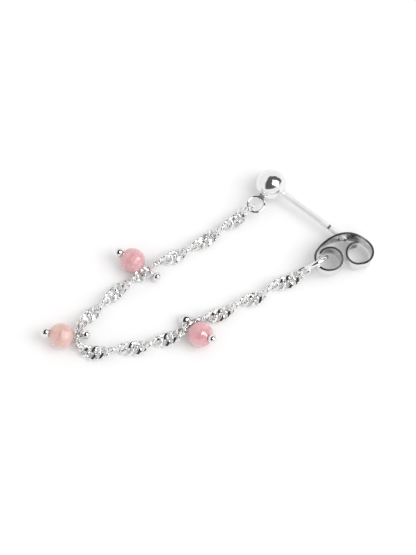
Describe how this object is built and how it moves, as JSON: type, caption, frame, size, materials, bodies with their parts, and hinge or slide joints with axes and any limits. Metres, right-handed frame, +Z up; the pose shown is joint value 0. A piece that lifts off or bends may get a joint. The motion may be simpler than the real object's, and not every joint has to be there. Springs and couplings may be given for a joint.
{
  "type": "chain stud earring",
  "caption": "Ball stud earring whose twisted chain loops from the ball to a ring on its butterfly back, with small faceted beads on ball-ended pins.",
  "frame": {"origin": "middle of the laid earring, on the surface that it lies on", "axes": "+X along its length, from the left bead to the butterfly back; +Y away from the viewer; +Z up"},
  "size_m": [0.0414, 0.0244, 0.0038],
  "materials": {
    "silver": "polished silver",
    "chain": "polished silver with flat cut facets",
    "bead_rose": "milky rose stone, faceted and polished",
    "bead_left": "milky peach stone, faceted and polished"
  },
  "bodies": {
    "root": {"ball_post": "silver", "clutch": "silver", "clutch_ring": "silver", "chain_far": "chain", "chain_near": "chain", "bead_left": "bead_left", "bead_upper": "bead_rose", "bead_right": "bead_rose", "pin_left": "silver", "pin_upper": "silver", "pin_right": "silver"}
  },
  "joints": []
}
